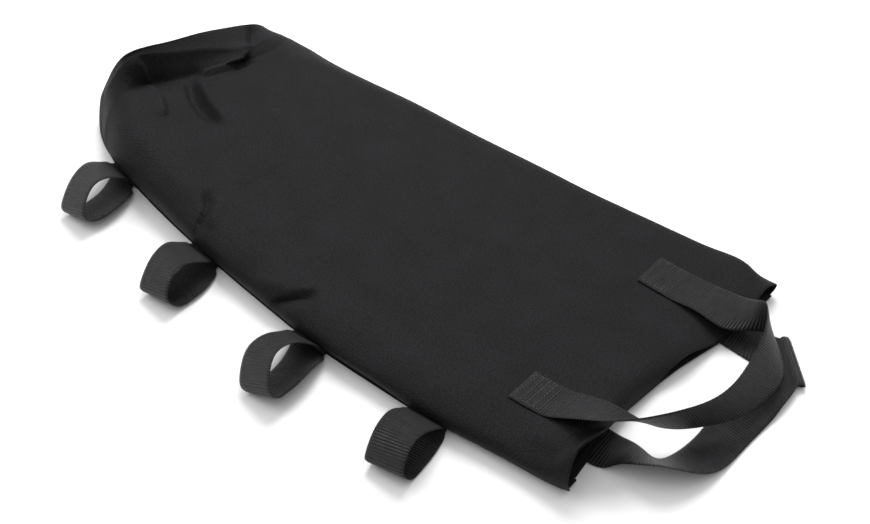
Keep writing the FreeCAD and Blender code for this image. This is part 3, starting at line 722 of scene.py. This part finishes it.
def lining(grid, depth, thickness):
    """A layer lying inside a part of the upper cloth."""
    inside = grid - grid_normals(grid) * depth
    return sheet_parts(inside, thickness, length_map(inside))


LAYER_COLUMNS = 8


def flat_layer(x_places, y_of_x, width, height, thickness):
    """A level strip along the bag: y_of_x gives its near edge, height is above the underside."""
    rows = []
    for x in x_places:
        z = underside_z(x) + height
        rows.append([(x, y_of_x(x) + width * k / (LAYER_COLUMNS - 1), z) for k in range(LAYER_COLUMNS)])
    grid = np.array(rows, float)
    return sheet_parts(grid, thickness, length_map(grid), -1.0)


SEAM_START, SEAM_END = -260.0, 306.0


def seam_gaps():
    """Stretches of the side seam between the loops."""
    edges = [SEAM_START]
    for middle_x, *_ in LOOPS.values():
        edges += [middle_x - HALF_WIDTH - 1, middle_x + HALF_WIDTH + 1]
    edges.append(SEAM_END)
    return [(edges[i], edges[i + 1]) for i in range(0, len(edges), 2)]


HEM_START = 284                 # closed side of the hem, along the bag
HEM_STITCH_ROW = 288
LAYER_GAP = 0.1
# what is left free at the near and far side of a sheet, in columns of its grid
TOP_HEM = slice(8, -6)
UNDER_HEM = slice(3, -5)
TOP_HEM_ROW = slice(8, -8)
BASE_TAPE = slice(22, -14)
BASE_ROW = slice(26, -18)

middle_column = COLUMNS_ACROSS // 2
under_column = UNDERSIDE_COLUMNS // 2
hem_grid = top[top[:, middle_column, 0] > HEM_START][:-1, TOP_HEM]
front_hem = joined("front_hem_cloth", [lining(hem_grid, CLOTH_THICKNESS + LAYER_GAP, CLOTH_THICKNESS)])
dress(front_hem, CLOTH, "cloth_inside", "bag", "front_hem")

hem_rows = under[under[:, under_column, 0] > HEM_START][:-1, UNDER_HEM].copy()
hem_rows[..., 2] += CLOTH_THICKNESS + LAYER_GAP
back_hem = sheet_object("back_hem_cloth", hem_rows, CLOTH_THICKNESS, length_map(hem_rows), -1.0)
dress(back_hem, CLOTH, "cloth_inside", "bag", "back_hem")

base_tape = joined("base_seam_tape", [lining(top[1:8, BASE_TAPE], CLOTH_THICKNESS + 0.4, 1.0)])
dress(base_tape, CLOTH, "binding_tape", "bag", "base_seam_binding")

tapes = []
for low, high in seam_gaps():
    places = np.linspace(low, high, max(2, int((high - low) / 4)))
    tapes.append(flat_layer(places, lambda x: seam_y(x) + 1.0, 11.0, 1.8, 2.2))
side_tape = joined("side_seam_tape", tapes)
dress(side_tape, CLOTH, "binding_tape", "bag", "side_seam_binding")

PATCH_START, PATCH_END = 220.0, 258.0
PATCH_REACH = 21                # each way from the middle of the strand
for strand, place in ((NEAR_STRAND, "near"), (FAR_STRAND, "far")):
    across = np.linspace(strand - PATCH_REACH, strand + PATCH_REACH, 10)
    grid = np.array([[(x, y, top_height(x, y)) for y in across]
                     for x in np.linspace(PATCH_START, PATCH_END, 8)])
    patch = joined(f"front_{place}_lining", [lining(grid, CLOTH_THICKNESS + 0.2, 0.9)])
    dress(patch, CLOTH, "cloth_inside", "bag", f"front_{place}_reinforcement")
for strand, place in ((BACK_NEAR_STRAND, "near"), (BACK_FAR_STRAND, "far")):
    places = np.linspace(PATCH_START, PATCH_END, 8)
    layer = flat_layer(places, lambda x: strand - PATCH_REACH, 2 * PATCH_REACH, 1.4, 0.9)
    patch = joined(f"back_{place}_lining", [layer])
    dress(patch, CLOTH, "cloth_inside", "bag", f"back_{place}_reinforcement")

# ------------------------------------------------------------------ stitching


def stitch_parts(line, normals, length=3.0, gap=0.9, radius=0.3):
    """Single stitches along a line, each one dipping into the cloth at both ends."""
    line = np.asarray(line, float)
    normals = np.asarray(normals, float)
    along = arc_lengths(line)
    count = max(1, int(along[-1] // (length + gap)))
    pitch = along[-1] / count
    parts = []
    for k in range(count):
        middle = (k + 0.5) * pitch
        reach = 0.5 * min(length, pitch)
        places = middle + reach * np.linspace(-1, 1, 5)
        centre = np.stack([np.interp(places, along, line[:, j]) for j in range(3)], axis=1)
        normal = np.stack([np.interp(places, along, normals[:, j]) for j in range(3)], axis=1)
        direction = centre[-1] - centre[0]
        side = np.cross(direction, normal)
        side /= np.linalg.norm(side, axis=1, keepdims=True)
        swell = np.array([0.35, 0.85, 1.0, 0.85, 0.35])[:, None]
        centre = centre + normal * radius * (swell - 0.6)
        ring = []
        for step in range(6):
            turn = math.pi * step / 3
            ring.append(centre + (side * math.cos(turn) + normal * math.sin(turn)) * radius * swell)
        points = np.stack(ring, axis=1).reshape(-1, 3)
        faces = []
        for i in range(4):
            for j in range(6):
                a, b = i * 6 + j, i * 6 + (j + 1) % 6
                faces.append((a, b, b + 6, a + 6))
        faces.append(tuple(range(5, -1, -1)))
        faces.append(tuple(range(24, 30)))
        parts.append((points, faces, np.zeros((30, 2))))
    return parts


SQUARE_START, SQUARE_END = 227.0, 252.0
SQUARE_REACH = 16.0             # each way from the middle of the strand


def box_rows(strand):
    """Lines of a sewn square on a strand, with three rows across it."""
    near = strand - SQUARE_REACH
    far = strand + SQUARE_REACH
    corners = [(SQUARE_START, near), (SQUARE_END, near), (SQUARE_END, far), (SQUARE_START, far),
               (SQUARE_START, near)]
    lines = list(zip(corners, corners[1:]))
    for share in (0.25, 0.5, 0.75):
        x = SQUARE_START + share * (SQUARE_END - SQUARE_START)
        lines.append(((x, near), (x, far)))
    return [[(a[0] + (b[0] - a[0]) * t, a[1] + (b[1] - a[1]) * t) for t in np.linspace(0, 1, 12)]
            for a, b in lines]


UP = np.array([0.0, 0.0, 1.0])
THREAD_ON_WEBBING = 2.1         # height above the bag's upper side
THREAD_IN_BAG = 5.3             # height above the floor
SEAM_THREAD_RISE = 4.9          # above the underside
TACK_RISE = 5.2
on_top = []
for strand in (NEAR_STRAND, FAR_STRAND):
    for row in box_rows(strand):
        frames = [surface_frame(x, y) for x, y in row]
        line = [(x, y, height + THREAD_ON_WEBBING) for (x, y), (height, _) in zip(row, frames)]
        on_top += stitch_parts(line, [normal for _, normal in frames], 2.6, 0.8, 0.32)
stitching = joined("front_handle_thread", on_top)
dress(stitching, PATCH_THREAD, "thread", "bag", "front_handle_stitching")

inside = []
for strand in (BACK_NEAR_STRAND, BACK_FAR_STRAND):
    for row in box_rows(strand):
        line = [(x, y, THREAD_IN_BAG) for x, y in row]
        inside += stitch_parts(line, [UP] * len(row), 2.6, 0.8, 0.25)
stitching = joined("back_handle_thread", inside)
dress(stitching, THREAD, "thread", "bag", "back_handle_stitching")

hem_row = int(np.argmin(np.abs(top[:, middle_column, 0] - HEM_STITCH_ROW)))
hem_line = top[hem_row, TOP_HEM_ROW]
hem_normals = grid_normals(top)[hem_row, TOP_HEM_ROW]
threads = stitch_parts(hem_line + 0.15 * hem_normals, hem_normals, 2.6, 1.0, 0.25)
hem_row = int(np.argmin(np.abs(under[:, under_column, 0] - HEM_STITCH_ROW)))
back_line = under[hem_row, UNDER_HEM]
threads += stitch_parts(back_line - 0.2 * UP, [-UP] * len(back_line), 2.6, 1.0, 0.25)
hem_thread = joined("hem_thread", threads)
dress(hem_thread, THREAD, "thread", "bag", "hem_stitching")

BASE_STITCH_ROW = 4
base_normals = grid_normals(top)[BASE_STITCH_ROW, BASE_ROW]
base_line = top[BASE_STITCH_ROW, BASE_ROW] - base_normals * (CLOTH_THICKNESS + 1.6)
base_thread = joined("base_seam_thread", stitch_parts(base_line, -base_normals, 3.0, 1.0, 0.25))
dress(base_thread, THREAD, "thread", "bag", "base_seam_stitching")

threads = []
for low, high in seam_gaps():
    if high - low > 20:
        places = np.linspace(low + 4, high - 4, 12)
        line = [(x, seam_y(x) + 5.3, underside_z(x) + SEAM_THREAD_RISE) for x in places]
        threads += stitch_parts(line, [UP] * 12, 3.0, 1.0, 0.25)
seam_thread = joined("side_seam_thread", threads)
dress(seam_thread, THREAD, "thread", "bag", "side_seam_stitching")

# bar tacks: close rows of short stitches over the webbing in the seam
threads = []
for middle_x, *_ in LOOPS.values():
    for side in (-9.0, 9.0):
        for step in range(20):
            x = middle_x + side - 6.6 + 0.7 * step
            y = seam_y(middle_x + side) + 5.0
            z = underside_z(x) + TACK_RISE
            threads += stitch_parts([(x, y, z), (x + 0.3, y + 1.6, z)], [UP, UP], 1.6, 0.0, 0.28)
tacks = joined("loop_bar_tack_thread", threads)
dress(tacks, THREAD, "thread", "bag", "loop_bar_tacks")

# ------------------------------------------------------------------ floor, light and camera

FLOOR_REACH = 9000
FLOOR_Z = -0.05
corners = [(-1, -1), (1, -1), (1, 1), (-1, 1)]
floor = make_mesh("floor", [(x * FLOOR_REACH, y * FLOOR_REACH, FLOOR_Z) for x, y in corners],
                  [(0, 1, 2, 3)], None, False)
floor_material, tree, bsdf = shader("pale_floor")
bsdf.inputs["Base Color"].default_value = (0.86, 0.86, 0.86, 1)
bsdf.inputs["Roughness"].default_value = 0.6
floor.data.materials.append(floor_material)
floor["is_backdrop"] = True

scene = bpy.context.scene
world = bpy.data.worlds.new("studio")
scene.world = world
world.use_nodes = True
# a white studio that is brighter overhead than at its sides
tree = world.node_tree
up = tree.nodes.new("ShaderNodeSeparateXYZ")
link(tree, tree.nodes.new("ShaderNodeTexCoord").outputs["Generated"], up.inputs[0])
height_squared = math_node(tree, "MULTIPLY", up.outputs["Z"], up.outputs["Z"])
OVERHEAD_GAIN = 1.35
SIDE_STRENGTH = 0.12
strength = math_node(tree, "ADD", math_node(tree, "MULTIPLY", height_squared, OVERHEAD_GAIN), SIDE_STRENGTH)
link(tree, strength, tree.nodes["Background"].inputs["Strength"])
tree.nodes["Background"].inputs["Color"].default_value = (1, 1, 1, 1)


LIGHT_SIZE = 1.4


def area_light(name, place, power):
    """A round soft light that points at the middle of the bag."""
    data = bpy.data.lights.new(name, "AREA")
    data.shape = "DISK"
    data.size = LIGHT_SIZE
    data.energy = power
    light = bpy.data.objects.new(name, data)
    light.location = place
    light.rotation_mode = "QUATERNION"
    light.rotation_quaternion = (-Vector(place)).to_track_quat("-Z", "Y")
    scene.collection.objects.link(light)


area_light("overhead", (-0.7, 1.2, 1.9), 46)
area_light("side", (-1.8, -0.8, 1.4), 14)

CAMERA_PLACE = (0.6714, -0.7395, 0.9419)
CAMERA_TARGET = (0.066, -0.018, 0.0)
CAMERA_LENS = 62.07
camera_data = bpy.data.cameras.new("camera")
camera_data.lens = CAMERA_LENS
camera_data.sensor_width = 36
camera = bpy.data.objects.new("camera", camera_data)
camera.location = CAMERA_PLACE
target = Vector(CAMERA_TARGET)
camera.rotation_mode = "QUATERNION"
camera.rotation_quaternion = (target - camera.location).to_track_quat("-Z", "Y")
scene.collection.objects.link(camera)
scene.camera = camera
scene.view_settings.view_transform = "Standard"

low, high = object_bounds()
